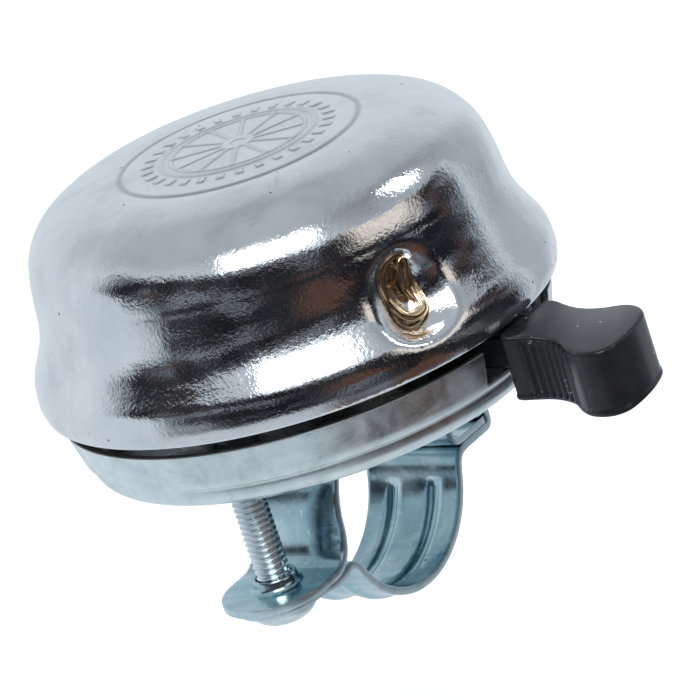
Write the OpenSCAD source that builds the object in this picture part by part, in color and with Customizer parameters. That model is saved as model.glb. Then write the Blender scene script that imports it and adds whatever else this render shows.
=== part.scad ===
// Rotary thumb bell for a bicycle handlebar.
// Origin: centre of the handlebar bore. +Z runs up through the dome, +Y lies
// along the handlebar, +X points at the hooked end of the clamp.

/* [Dome] */
// Radius of the dome at its flared rim
dome_r = 30.2; // [29.9:0.1:30.5]
// Sheet thickness of the dome
dome_t = 1.0; // [0.9:0.05:1.0]
// Height of the striker dimples above the bore centre
dimple_z = 30.0; // [29.5:0.1:30.5]
// Direction of the front dimple round the dome
dimple_az = -114; // [-118:1:-110]
// Radius of the ring engraved on the crown
ring_r = 13.5; // [12.5:0.1:14]

/* [Base] */
// Radius of the pan at its open top edge
pan_r = 28.6; // [28.4:0.1:28.8]
// Height of the open top edge of the pan
pan_top = 18.4; // [18:0.1:18.6]
// Sheet thickness of the pan
pan_t = 0.9; // [0.8:0.05:0.9]

/* [Gear train] */
// Gear module
gm = 0.7; // [0.7:0.1:0.7]
// Thickness of the backlash between two teeth
backlash = 0.12; // [0.1:0.01:0.16]
// Radius of the centre post
post_r = 2.0; // [1.9:0.05:2.0]

/* [Clamp] */
// Radius of the handlebar
bar_r = 11.1; // [11.1:0.05:11.2]
// Width of the clamp bands along the handlebar
band_w = 13; // [12:0.5:14]
// Distance of the clamp screw from the bore centre
screw_x = 17.5; // [17.3:0.1:18]
// Radius of the clamp screw
screw_r = 2.0; // [1.9:0.05:2.0]

/* [Hidden] */

rim_z = 20.0;            // dome rim
floor_z = 12.8;          // raised middle of the pan floor
lever_p = [1, -19];      // lever pivot
idler_p = [11.45, -6.77];// idler axis: 16.1 from the lever, 13.3 from the post
pillars = [[-9, 6], [6.5, 9.5]];
anchor_p = [-6.5, -17.5];
plate_z = 20.0;
plate_t = 1.0;
bar_z = 27.0;            // rotor bar
bar_t = 1.2;
hammer_at = 17.2;        // hammer pin distance from the post
bar_az = 137;            // rest direction of the rotor bar
ham_z = 28.4;
strap_t = 0.9;
$fn = 96;

// ---- helpers ----
function lerp(a, b, t) = a + (b - a) * t;
// Catmull-Rom point between b and c
function cr(a, b, c, d, t) = 0.5 * (2*b + (c - a)*t + (2*a - 5*b + 4*c - d)*t*t + (3*b - a - 3*c + d)*t*t*t);
// open spline through points, n steps a span
function spline(p, n) = [for (i = [0:len(p)-2], k = [0:n-1])
    cr(p[max(i-1, 0)], p[i], p[i+1], p[min(i+2, len(p)-1)], k/n), p[len(p)-1]];
// closed spline
function loop(p, n) = [for (i = [0:len(p)-1], k = [0:n-1])
    cr(p[(i+len(p)-1)%len(p)], p[i], p[(i+1)%len(p)], p[(i+2)%len(p)], k/n)];
function unit(v) = v / norm(v);
// the polyline p shifted sideways by d (to the right of its direction)
function shift(p, d) = [for (i = [0:len(p)-1])
    let (t = unit(p[min(i+1, len(p)-1)] - p[max(i-1, 0)])) p[i] + d * [t[1], -t[0]]];
function rev(p) = [for (i = [len(p)-1:-1:0]) p[i]];

// involute tooth flank: angle of the point at radius r on base radius rb
function inv(rb, r) = let (c = rb / r) sqrt(1/(c*c) - 1) * 180 / PI - acos(c);
// 2-D spur gear, tooth 0 centred on direction rot, pressure angle 25
module gear2d(z, rot, from = 0, to = 1000) {
    pr = gm * z / 2; rb = pr * cos(25); ra = pr + 0.75 * gm; rd = pr - 1.0 * gm;
    half = 90 / z - backlash / 2 / pr * 180 / PI / 2 + inv(rb, pr);
    r0 = max(rb, rd);
    last = min(to, z - 1);
    difference() {
        union() {
            circle(r = rd + 0.02);
            for (i = [from:last]) rotate(rot + i * 360 / z) polygon(concat(
                [[rd * 0.9 * cos(half), -rd * 0.9 * sin(half)]],
                [for (k = [0:5]) let (r = lerp(r0, ra, k/5), a = half - inv(rb, r)) [r*cos(a), -r*sin(a)]],
                [for (k = [5:-1:0]) let (r = lerp(r0, ra, k/5), a = half - inv(rb, r)) [r*cos(a), r*sin(a)]],
                [[rd * 0.9 * cos(half), rd * 0.9 * sin(half)]]));
        }
    }
}
module at(p, z = 0) { translate([p[0], p[1], z]) children(); }
module cyl(r, z0, z1) { translate([0, 0, z0]) cylinder(r = r, h = z1 - z0); }
// flat link of width w between two points
module link2d(p, q, w) {
    d = q - p; a = atan2(d[1], d[0]);
    translate(p) rotate(a) translate([0, -w*0.45]) square([norm(d), w*0.9]);
    translate(p) circle(r = w/2);
    translate(q) circle(r = w/2);
}
// tube swept along points, wire radius r
function ring3(p, t, r, n) = let (u = unit(cross(t, abs(t[2]) > 0.9 ? [1, 0, 0] : [0, 0, 1])), v = cross(u, t))
    [for (k = [0:n-1]) p + r * (u * cos(k*360/n) + v * sin(k*360/n))];
module wire(p, r, n = 10) {
    m = len(p);
    pts = [for (i = [0:m-1]) each ring3(p[i], unit(p[min(i+1, m-1)] - p[max(i-1, 0)]), r, n)];
    polyhedron(pts, concat(
        [[for (k = [0:n-1]) k]], [[for (k = [n-1:-1:0]) (m-1)*n + k]],
        [for (i = [0:m-2], k = [0:n-1]) [i*n + k, (i+1)*n + k, (i+1)*n + (k+1)%n, i*n + (k+1)%n]]));
}

// ---- dome ----
dome_pts = spline([[6, 43.0], [11, 42.9], [16, 42.6], [20, 42.0], [22.6, 41.0], [24.6, 39.6],
    [26.0, 37.6], [26.7, 35.4], [27.1, 33.0], [27.3, 31.0], [27.6, 29.2], [28.2, 27.4],
    [29.1, 25.6], [29.9, 24.0], [dome_r, 22.4], [dome_r, 21.2], [dome_r - 0.3, rim_z]], 3);
module dome_profile(t) {
    inner = shift(dome_pts, t);
    polygon(concat([[0, 43.0]], dome_pts,
        [[dome_pts[len(dome_pts)-1][0] - t, rim_z]], rev([for (q = inner) if (q[1] > rim_z + 0.4) q]), [[0, 43.0 - t]]));
}
module dimple(r) { for (s = [0, 180]) rotate([0, 0, dimple_az + s]) translate([30.45, 0, dimple_z]) sphere(r = r); }
module dome() color("gainsboro") {
    difference() {
        union() {
            rotate_extrude() dome_profile(dome_t);
            intersection() {
                dimple(6.75);
                rotate_extrude() polygon(concat([[0, 43.0]], dome_pts, [[0, rim_z]]));
            }
        }
        dimple(5.85);
        // rivet holes at the bottom of the dimples
        for (s = [0, 180]) rotate([0, 0, dimple_az + s]) translate([20, 0, dimple_z]) rotate([0, 90, 0]) cylinder(r = 1.2, h = 8);
        // ring and spoked wheel engraved on the crown
        difference() {
            translate([0, 0, 42.2]) cylinder(r = ring_r + 0.25, h = 1);
            translate([0, 0, 42]) cylinder(r = ring_r - 0.25, h = 2);
            rotate_extrude() polygon(concat([[0, 42.75]], [for (q = dome_pts) q - [0, 0.25]], [[0, rim_z]]));
        }
    }
}
module dome_boss() color("silver") difference() {
    union() { cyl(4.2, 36.0, 42.0); cyl(5.4, 41.0, 42.0); }
    cyl(post_r + 0.05, 35, 41.2);
}
module striker_rivets() color("goldenrod")
    for (s = [0, 180]) rotate([0, 0, dimple_az + s]) translate([0, 0, dimple_z]) rotate([0, 90, 0]) {
        translate([0, 0, 23.1]) cylinder(r = 2.2, h = 0.6);
        translate([0, 0, 23.1]) cylinder(r = 1.2, h = 2.6);
        difference() {
            translate([0, 0, 25.0]) cylinder(r1 = 1.6, r2 = 2.1, h = 1.75);
            translate([0, 0, 25.6]) cylinder(r1 = 0.9, r2 = 1.6, h = 1.2);
        }
    }

// ---- base ----
pan_out = [[27.0, 12.6], [27.45, 13.4], [27.5, 13.9], [pan_r, pan_top]];
module pan_profile() {
    lower = concat([[0, 12.0], [14.6, 12.0], [15.9, 11.0], [24.6, 11.0]],
        [for (a = [-80:15:-5]) [24.9 + 2.1*cos(a), 13.1 + 2.1*sin(a)]], [[27.15, 13.4], [27.45, 13.9], [pan_r, pan_top]]);
    upper = concat([[0, floor_z], [14.9, floor_z], [16.2, 11.9], [24.6, 11.9]],
        [for (a = [-75:20:-15]) [24.9 + 1.2*cos(a), 13.1 + 1.2*sin(a)]], [[26.25, 13.4], [26.55, 13.9], [pan_r - pan_t, pan_top]]);
    polygon(concat(lower, rev(upper)));
}
module base_pan() color("lightgray") difference() {
    rotate_extrude() pan_profile();
    cyl(post_r, 10, 14);
    at(lever_p) cyl(1.5, 10, 14);
    at(idler_p) cyl(1.25, 10, 14);
    at(anchor_p) cyl(0.8, 10, 14);
    for (p = pillars) at(p) cyl(1.2, 10, 14);
    // slot in the wall for the lever arm
    translate([0, 0, 14.6]) linear_extrude(6) polygon([[0, 0], 40*[cos(-101), sin(-101)], 44*[cos(-85), sin(-85)], 40*[cos(-68), sin(-68)]]);
}
module center_post() color("silver") union() {
    cyl(post_r, 11.15, 40.8);
    cyl(3.3, floor_z, 16.5);
}
module bridge_plate() color("silver") difference() {
    union() {
        translate([0, 0, plate_z]) linear_extrude(plate_t) polygon([[-12.4, 7.6], [-10.6, 9.4], [-8.4, 9.8], [6.2, 13.1], [8.6, 12.7],
            [10.0, 11.0], [14.8, -4.7], [15.2, -7.2], [14.2, -9.4], [4.4, -20.9], [2.4, -22.4], [0.0, -22.5], [-1.8, -21.2], [-12.6, 4.2], [-12.9, 6.0]]);
    }
    cyl(3.7, 19, 22);
    at(lever_p) cyl(1.5, 19, 22);
    at(idler_p) cyl(1.25, 19, 22);
    for (p = pillars) at(p) cyl(1.2, 19, 22);
}
module bridge_pillars() color("silver") for (p = pillars) at(p) difference() {
    union() { cyl(2.5, floor_z, plate_z); cyl(1.2, 12.0, floor_z + 1); }
    cyl(1.2, 16, 21);
}
module bridge_screws() color("gray") for (p = pillars) at(p) difference() {
    union() { cyl(1.2, 16.2, 22.4); cyl(2.2, 21.0, 22.4); }
    translate([-0.3, -3, 21.9]) cube([0.6, 6, 2]);
}
module lever_pivot_pin() color("silver") at(lever_p) cyl(1.5, 11.0, 22.0);
module idler_pin() color("silver") at(idler_p) cyl(1.25, 12.0, 22.0);
module pin_clips() color("dimgray") {
    at(lever_p) difference() { cyl(2.9, 21.0, 21.6); cyl(1.5, 20, 22); translate([0.0, -0.8, 20]) cube([4, 1.6, 3]); }
    at(idler_p) difference() { cyl(2.6, 21.0, 21.6); cyl(1.25, 20, 22); translate([0.0, -0.7, 20]) cube([4, 1.4, 3]); }
}
module spring_anchor_pin() color("silver") at(anchor_p) cyl(0.8, 11.0, 14.4);
module lever_return_spring() color("gray")
    wire(concat(
        [for (q = [[-5.2, -19.4, 12.4], [-4.0, -20.0, 12.35]]) q],
        [for (a = [190:20:890]) [lever_p[0] + 2.7*cos(a), lever_p[1] + 2.7*sin(a), 12.3 + (a - 190)/700*0.85]],
        [[-2.75, -22.0, 13.2], [-2.95, -23.6, 13.7], [-2.95, -23.9, 15.8]]), 0.32, 8);

// ---- lever ----
pad_pts = [[4.9, -30.1], [5.2, -31.4], [4.3, -33.1], [3.3, -35.0], [2.6, -37.2], [2.5, -39.4], [2.9, -41.2], [2.9, -42.8], [2.1, -44.5],
           [0.8, -45.7], [-1.0, -46.4], [-3.2, -46.9], [-5.8, -47.1], [-8.0, -46.9], [-9.3, -45.9], [-9.7, -44.4], [-9.4, -42.5], [-8.2, -40.6],
           [-6.5, -38.8], [-5.3, -36.6], [-4.7, -34.5], [-4.6, -32.2], [-4.6, -30.4], [-4.0, -29.5], [-1.0, -29.4], [2.5, -29.5]];
module thumb_lever() color("#18191b") difference() {
    union() {
        at(lever_p) cyl(3.5, 13.6, 19.9);
        // toothed sector
        translate([0, 0, 13.6]) linear_extrude(2.5) intersection() {
            translate(lever_p) gear2d(36, 49.49, -3, 0.5 + 0.5);
            translate(lever_p) polygon([[0, 0], 30*[cos(8), sin(8)], 30*[cos(36), sin(36)], 30*[cos(64), sin(64)]]);
        }
        // arm
        translate([0, 0, 14.9]) linear_extrude(3.7) polygon([[-2.25, -19], [4.25, -19], [4.25, -30.5], [-2.25, -30.5]]);
        // pad
        translate([0, 0, 12.0]) linear_extrude(7.6) polygon(loop(pad_pts, 3));
        // grip ribs on the hollow side
        for (q = [[-4.3, -32.5], [-4.35, -33.6], [-4.5, -34.65], [-4.8, -35.7], [-5.15, -36.7], [-5.65, -37.75], [-6.3, -38.7], [-7.1, -39.65]])
            translate([q[0], q[1], 12.5]) cylinder(r = 0.55, h = 6.6, $fn = 24);
    }
    at(lever_p) cyl(1.55, 10, 24);
}

// ---- gear train ----
module idler_washer() color("silver") at(idler_p) difference() { cyl(2.3, floor_z, 13.5); cyl(1.3, 12, 14); }
module idler_gear() color("khaki") at(idler_p) difference() {
    union() {
        translate([0, 0, 13.6]) linear_extrude(3.4) gear2d(10, 229.49 + 18);
        translate([0, 0, 16.8]) linear_extrude(2.0) gear2d(26, 149.41);
        cyl(2.4, 18.7, 19.9);
    }
    cyl(1.3, 12, 22);
    for (a = [0:60:300]) rotate(a + 30) translate([5.8, 0, 10]) cylinder(r = 1.5, h = 12);
}
module rotor_hub() color("khaki") difference() {
    union() {
        translate([0, 0, 16.6]) linear_extrude(2.6) gear2d(12, -30.59 + 15);
        cyl(3.2, 19.0, bar_z);
        cyl(2.6, bar_z - 1, bar_z + bar_t);
    }
    cyl(post_r + 0.05, 12, 40);
}
module rotor_bar() color("silver") rotate([0, 0, bar_az]) translate([0, 0, bar_z]) difference() {
    linear_extrude(bar_t) { link2d([-hammer_at, 0], [hammer_at, 0], 6.4); circle(r = 5); }
    translate([0, 0, -1]) cyl(2.6, 0, 4);
    for (s = [-1, 1]) translate([s*hammer_at, 0, -1]) cyl(1.5, 0, 4);
}
module rotor_clip() color("dimgray") difference() { cyl(3.9, 28.4, 29.2); cyl(post_r, 27, 31); translate([0, -1, 27]) cube([6, 2, 4]); }
module hammer_pins() color("silver") rotate([0, 0, bar_az]) for (s = [-1, 1]) translate([s*hammer_at, 0, 0]) {
    cyl(1.5, 26.6, 32.2);
    cyl(2.2, 26.4, 27.0);
    cyl(3.3, 31.6, 32.4);
}
module hammer(s) rotate([0, 0, bar_az]) translate([s*hammer_at, 0, 0]) difference() {
    union() { cyl(5.0, ham_z + 0.4, ham_z + 2.6); cyl(4.6, ham_z, ham_z + 3.0); }
    cyl(2.35, ham_z - 1, ham_z + 4);
}
module hammer_a() color("dimgray") hammer(1);
module hammer_b() color("dimgray") hammer(-1);

// ---- clamp ----
// wedge between two directions, for cutting a ring into an arc
module wedge(a, b) polygon(concat([[0, 0]], [for (k = [0:4]) 60 * [cos(lerp(a, b, k/4)), sin(lerp(a, b, k/4))]]));
module arc2d(r0, r1, a, b) intersection() {
    difference() { circle(r = r1, $fn = 128); circle(r = r0, $fn = 128); }
    wedge(a, b);
}
// band with its profile in the XZ plane
module band(w = band_w) rotate([90, 0, 0]) translate([0, 0, -w/2]) linear_extrude(w) children();
module ear_plan() translate([0, 0, -30]) linear_extrude(60) {
    translate([-screw_x, 0]) circle(r = band_w/2);
    translate([-screw_x, -band_w/2]) square([screw_x + 30, band_w]);
}
// the lower ear is a little smaller than the upper one
module lower_plan() translate([0, 0, -30]) linear_extrude(60) {
    translate([-screw_x, 0]) circle(r = 5.2);
    polygon([[-screw_x, -5.2], [-13, -band_w/2], [30, -band_w/2], [30, band_w/2], [-13, band_w/2], [-screw_x, 5.2]]);
}
// where a tangent from the end of the flat crown meets the bar
tang = 2 * atan(3 / bar_r);
module crown_side() polygon([[2.9, bar_r], [3.0, bar_r], bar_r*[sin(tang), cos(tang)],
    (bar_r + strap_t)*[sin(tang), cos(tang)], [3.0 + strap_t*tan(tang/2), bar_r + strap_t], [2.9, bar_r + strap_t]]);
module upper_strap() color("lightsteelblue") difference() {
    union() {
        intersection() {
            band() {
                translate([-2.95, bar_r]) square([5.9, strap_t]);
                crown_side();
                mirror([1, 0]) crown_side();
                arc2d(bar_r, bar_r + strap_t, 90 + tang - 0.2, 185);
                arc2d(bar_r, bar_r + strap_t, -0.2, 90 - tang + 0.2);
                polygon([[-11.06, -0.8], [-11.97, -0.8], [-12.2, -1.3], [-13.3, -2.5], [-14.1, -2.8], [-26, -2.8], [-26, -3.7], [-13.9, -3.7], [-12.8, -3.2], [-11.5, -1.8], [-11.15, -1.2]]);
                polygon([[bar_r, 0.1], [bar_r + strap_t, 0.1], [12.4, -0.1], [18.2, -0.1], [18.2, -1.0], [12.2, -1.0], [11.5, -0.7]]);
            }
            ear_plan();
        }
        // drawn collar that holds the thread
        translate([-screw_x, 0, -3.0]) cylinder(r1 = 3.3, r2 = 2.55, h = 0.7);
        translate([-screw_x, 0, -3.0]) cylinder(r = 2.55, h = 1.5);
    }
    translate([-screw_x, 0, -6]) cylinder(r = screw_r + 0.05, h = 10);
    cyl(post_r, 9, 14);
}
module lower_strap() color("lightsteelblue") difference() {
    intersection() {
        union() {
            band() {
                arc2d(bar_r, 12.05, 203, 352);
                polygon([[-26, -3.78], [-14.2, -3.78], [-13.3, -3.55], [-12.6, -3.15], [-12.0, -3.0], [-11.4, -3.15], [-10.3, -4.2], [-10.6, -4.9], [-11.2, -4.75], [-11.7, -4.1], [-12.2, -3.95], [-12.9, -4.2], [-13.8, -4.62], [-14.6, -4.7], [-26, -4.7]]);
                polygon([[10.95, -1.75], [11.3, -1.15], [11.7, -1.05], [19.35, -1.05], [19.35, -1.95], [12.4, -1.95], [11.85, -2.2]]);
                polygon([[18.45, -1.5], [19.35, -1.5], [19.35, 0.9], [18.9, 1.1], [17.0, 1.1], [17.0, 0.2], [18.45, 0.2]]);
            }
            // stamped stiffening ribs
            for (s = [-1, 1]) translate([0, s*2.9, 0]) band(1.8) arc2d(11.8, 12.5, 214, 338);
        }
        lower_plan();
    }
    for (s = [-1, 1]) translate([0, s*2.9, 0]) band(1.2) arc2d(10.8, 11.5, 216, 336);
    translate([-screw_x, 0, -8]) cylinder(r = 2.7, h = 10);
}
module clamp_screw() color("lightsteelblue") translate([-screw_x, 0, 0]) difference() {
    union() {
        translate([0, 0, -6]) cylinder(r = screw_r, h = 15.2);
        translate([0, 0, 9.2]) cylinder(r1 = screw_r, r2 = screw_r - 0.4, h = 0.4);
        translate([0, 0, -6.6]) cylinder(r = 3.75, h = 1.8);
        translate([0, 0, -7.2]) cylinder(r1 = 2.9, r2 = 3.75, h = 0.6);
    }
    translate([-0.45, -2.4, -7.3]) cube([0.9, 4.8, 1.1]);
    translate([-2.4, -0.45, -7.3]) cube([4.8, 0.9, 1.1]);
}

dome();
dome_boss();
striker_rivets();
base_pan();
center_post();
bridge_plate();
bridge_pillars();
bridge_screws();
lever_pivot_pin();
idler_pin();
pin_clips();
spring_anchor_pin();
lever_return_spring();
thumb_lever();
idler_washer();
idler_gear();
rotor_hub();
rotor_bar();
rotor_clip();
hammer_pins();
hammer_a();
hammer_b();
upper_strap();
lower_strap();
clamp_screw();
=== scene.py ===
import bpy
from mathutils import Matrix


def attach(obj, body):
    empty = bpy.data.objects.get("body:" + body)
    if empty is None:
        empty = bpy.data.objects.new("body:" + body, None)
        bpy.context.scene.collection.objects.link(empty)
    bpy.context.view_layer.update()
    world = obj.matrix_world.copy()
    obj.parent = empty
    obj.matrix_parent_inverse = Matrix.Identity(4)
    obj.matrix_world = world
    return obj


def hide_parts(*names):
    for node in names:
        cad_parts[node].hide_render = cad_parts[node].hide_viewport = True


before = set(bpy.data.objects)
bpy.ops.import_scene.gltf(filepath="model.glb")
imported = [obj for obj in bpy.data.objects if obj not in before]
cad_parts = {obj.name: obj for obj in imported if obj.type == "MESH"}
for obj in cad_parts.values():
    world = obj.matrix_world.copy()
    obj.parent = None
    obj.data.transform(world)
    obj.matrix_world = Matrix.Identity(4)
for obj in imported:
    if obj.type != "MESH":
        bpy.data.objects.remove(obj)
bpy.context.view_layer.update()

import math
import bpy
import bmesh
import numpy as np
from mathutils import Vector, Matrix, noise

MM = 0.001
scene = bpy.context.scene
scene.view_settings.view_transform = "Standard"


# ------------------------------------------------------------------ mesh helpers
def add_mesh(name, verts, faces, mats, smooth=True, scale=MM):
    me = bpy.data.meshes.new(name)
    me.from_pydata([tuple(v) for v in (np.asarray(verts, float) * scale)], [], [tuple(f) for f in faces])
    me.validate(); me.update()
    for m in (mats if isinstance(mats, (list, tuple)) else [mats]):
        me.materials.append(m)
    me.polygons.foreach_set("use_smooth", [smooth] * len(me.polygons))
    ob = bpy.data.objects.new(name, me)
    scene.collection.objects.link(ob)
    return ob


def outward(ob):
    bm = bmesh.new(); bm.from_mesh(ob.data)
    bmesh.ops.recalc_face_normals(bm, faces=bm.faces)
    bm.to_mesh(ob.data); bm.free(); ob.data.update()
    return ob


def bake(ob):
    """Applies every modifier on ob."""
    dg = bpy.context.evaluated_depsgraph_get()
    me = bpy.data.meshes.new_from_object(ob.evaluated_get(dg))
    old = ob.data
    ob.modifiers.clear(); ob.data = me
    bpy.data.meshes.remove(old)
    return ob


def cut(ob, tools, op="DIFFERENCE"):
    for t in tools:
        m = ob.modifiers.new("cut", "BOOLEAN"); m.object = t; m.operation = op; m.solver = "EXACT"
    bake(ob)
    for t in tools:
        bpy.data.objects.remove(t, do_unlink=True)
    return ob


def join_objs(name, obs):
    bm = bmesh.new(); mats = []
    for o in obs:
        off = len(bm.verts)
        me = o.data.copy(); me.transform(o.matrix_world)
        remap = []
        for m in me.materials:
            if m not in mats: mats.append(m)
            remap.append(mats.index(m))
        for p in me.polygons:
            if remap: p.material_index = remap[p.material_index]
        bm.from_mesh(me); bpy.data.meshes.remove(me)
    me = bpy.data.meshes.new(name); bm.to_mesh(me); bm.free()
    for m in mats: me.materials.append(m)
    ob = bpy.data.objects.new(name, me); scene.collection.objects.link(ob)
    for o in obs: bpy.data.objects.remove(o, do_unlink=True)
    return ob


def sharp(ob, deg=35):
    """Smooth shading that keeps edges over deg sharp."""
    ob.data.polygons.foreach_set("use_smooth", [True] * len(ob.data.polygons))
    ob.data.set_sharp_from_angle(angle=math.radians(deg))
    return ob


def revolve(name, prof, mat, n=128, center=(0, 0), axis="z", closed=True):
    """Solid of revolution of a closed (r, z) profile; points on the axis share one vertex."""
    verts, rings = [], []
    for r, z in prof:
        if r < 1e-6:
            rings.append([len(verts)]); verts.append((center[0], center[1], z))
        else:
            rings.append(list(range(len(verts), len(verts) + n)))
            verts += [(center[0] + r * math.cos(2 * math.pi * k / n), center[1] + r * math.sin(2 * math.pi * k / n), z) for k in range(n)]
    faces = []
    m = len(prof)
    for i in range(m if closed else m - 1):
        a, b = rings[i], rings[(i + 1) % m]
        if len(a) == 1 and len(b) == 1: continue
        for k in range(n):
            k2 = (k + 1) % n
            if len(a) == 1: faces.append((a[0], b[k2], b[k]))
            elif len(b) == 1: faces.append((a[k], a[k2], b[0]))
            else: faces.append((a[k], a[k2], b[k2], b[k]))
    return outward(add_mesh(name, verts, faces, mat))


def tube(name, pts, r, mat, n=14, closed=False, caps=True):
    """Round tube of radius r (number or list) along 3-D points."""
    P = np.asarray(pts, float); m = len(P)
    R = np.full(m, r, float) if np.isscalar(r) else np.asarray(r, float)
    if closed: T = np.roll(P, -1, 0) - np.roll(P, 1, 0)
    else: T = np.gradient(P, axis=0)
    T /= np.linalg.norm(T, axis=1)[:, None]
    U = np.cross(T[0], (0, 0, 1)); U = U if np.linalg.norm(U) > .1 else np.cross(T[0], (1, 0, 0)); U /= np.linalg.norm(U)
    verts = []
    for i in range(m):
        U = U - T[i] * np.dot(U, T[i]); U /= np.linalg.norm(U); V = np.cross(T[i], U)
        for k in range(n):
            a = 2 * math.pi * k / n
            verts.append(P[i] + R[i] * (U * math.cos(a) + V * math.sin(a)))
    faces = []
    for i in range(m if closed else m - 1):
        j = (i + 1) % m
        for k in range(n):
            k2 = (k + 1) % n
            faces.append((i * n + k, j * n + k, j * n + k2, i * n + k2))
    if not closed and caps:
        faces.append(tuple(range(n))); faces.append(tuple((m - 1) * n + k for k in range(n - 1, -1, -1)))
    return outward(add_mesh(name, verts, faces, mat))


def smoothstep(a, b, x):
    t = np.clip((x - a) / (b - a), 0, 1)
    return t * t * (3 - 2 * t)


def crspline(p, n, closed=False):
    p = np.asarray(p, float); m = len(p); out = []
    for i in range(m if closed else m - 1):
        if closed: a, b, c, d = p[(i - 1) % m], p[i], p[(i + 1) % m], p[(i + 2) % m]
        else: a, b, c, d = p[max(i - 1, 0)], p[i], p[i + 1], p[min(i + 2, m - 1)]
        for k in range(n):
            t = k / n
            out.append(0.5 * (2 * b + (c - a) * t + (2 * a - 5 * b + 4 * c - d) * t * t + (3 * b - a - 3 * c + d) * t ** 3))
    if not closed: out.append(p[-1])
    return np.array(out)


def resample(p, step=None, n=None, closed=False):
    p = np.asarray(p, float)
    if closed: p = np.vstack([p, p[:1]])
    s = np.r_[0, np.cumsum(np.linalg.norm(np.diff(p, axis=0), axis=1))]
    if n is None: n = max(2, int(round(s[-1] / step)) + (0 if closed else 1))
    t = np.linspace(0, s[-1], n, endpoint=not closed)
    return np.stack([np.interp(t, s, p[:, k]) for k in range(p.shape[1])], 1)


# ------------------------------------------------------------------ materials
def nodes_of(m):
    m.use_nodes = True
    nt = m.node_tree
    return nt, nt.nodes, nt.links, nt.nodes["Principled BSDF"]


class NT:
    """Small helper for building node trees."""
    def __init__(self, name):
        self.m = bpy.data.materials.new(name)
        self.nt, self.n, self.l, self.p = nodes_of(self.m)
        tc = self.n.new("ShaderNodeTexCoord"); self.obj = tc.outputs["Object"]
        geo = self.n.new("ShaderNodeNewGeometry"); self.geo = geo

    def link(self, a, b): self.l.new(a, b)

    def mapping(self, scale=(1, 1, 1), loc=(0, 0, 0), rot=(0, 0, 0), src=None):
        nd = self.n.new("ShaderNodeMapping"); nd.inputs["Scale"].default_value = scale
        nd.inputs["Location"].default_value = loc; nd.inputs["Rotation"].default_value = rot
        self.link(src or self.obj, nd.inputs["Vector"]); return nd.outputs[0]

    def noise(self, scale, detail=2.0, rough=0.5, src=None, dist=0.0, out="Fac"):
        nd = self.n.new("ShaderNodeTexNoise"); nd.inputs["Scale"].default_value = scale
        nd.inputs["Detail"].default_value = detail; nd.inputs["Roughness"].default_value = rough
        nd.inputs["Distortion"].default_value = dist
        self.link(src or self.obj, nd.inputs["Vector"])
        return nd.outputs[out]

    def voronoi(self, scale, feature="F1", src=None, rand=1.0):
        nd = self.n.new("ShaderNodeTexVoronoi"); nd.feature = feature
        nd.inputs["Scale"].default_value = scale; nd.inputs["Randomness"].default_value = rand
        self.link(src or self.obj, nd.inputs["Vector"]); return nd

    def ramp(self, fac, stops, interp="LINEAR"):
        nd = self.n.new("ShaderNodeValToRGB"); nd.color_ramp.interpolation = interp
        e = nd.color_ramp.elements
        while len(e) > 1: e.remove(e[-1])
        e[0].position = stops[0][0]; e[0].color = self.c(stops[0][1])
        for p, c in stops[1:]:
            k = e.new(p); k.color = self.c(c)
        self.link(fac, nd.inputs[0]); return nd.outputs[0]

    def c(self, v):
        return (v, v, v, 1) if isinstance(v, (int, float)) else (*v, 1)

    def maprange(self, x, a, b, c, d, smooth=False):
        nd = self.n.new("ShaderNodeMapRange"); nd.interpolation_type = "SMOOTHSTEP" if smooth else "LINEAR"
        for k, v in zip(("From Min", "From Max", "To Min", "To Max"), (a, b, c, d)): nd.inputs[k].default_value = v
        self.link(x, nd.inputs["Value"]); return nd.outputs["Result"]

    def math(self, op, a, b=None):
        nd = self.n.new("ShaderNodeMath"); nd.operation = op
        for i, v in enumerate((a, b)):
            if v is None: continue
            if isinstance(v, (int, float)): nd.inputs[i].default_value = v
            else: self.link(v, nd.inputs[i])
        return nd.outputs[0]

    def mix(self, fac, a, b, kind="MIX"):
        nd = self.n.new("ShaderNodeMix"); nd.data_type = "RGBA"; nd.blend_type = kind
        for sock, v in ((nd.inputs["Factor"], fac), (nd.inputs[6], a), (nd.inputs[7], b)):
            if isinstance(v, (int, float)):
                sock.default_value = v if sock is nd.inputs["Factor"] else (v, v, v, 1)
            elif isinstance(v, tuple): sock.default_value = (*v, 1)
            else: self.link(v, sock)
        return nd.outputs[2]

    def bump(self, h, strength, dist, normal=None):
        nd = self.n.new("ShaderNodeBump"); nd.inputs["Strength"].default_value = strength
        nd.inputs["Distance"].default_value = dist
        self.link(h, nd.inputs["Height"])
        if normal is not None: self.link(normal, nd.inputs["Normal"])
        return nd.outputs[0]

    def sep(self, v):
        nd = self.n.new("ShaderNodeSeparateXYZ"); self.link(v, nd.inputs[0]); return nd.outputs

    def set(self, **kw):
        for k, v in kw.items():
            sock = self.p.inputs[k.replace("_", " ")]
            if isinstance(v, (int, float)): sock.default_value = v
            elif isinstance(v, tuple): sock.default_value = (*v, 1) if len(v) == 3 else v
            else: self.link(v, sock)


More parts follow.
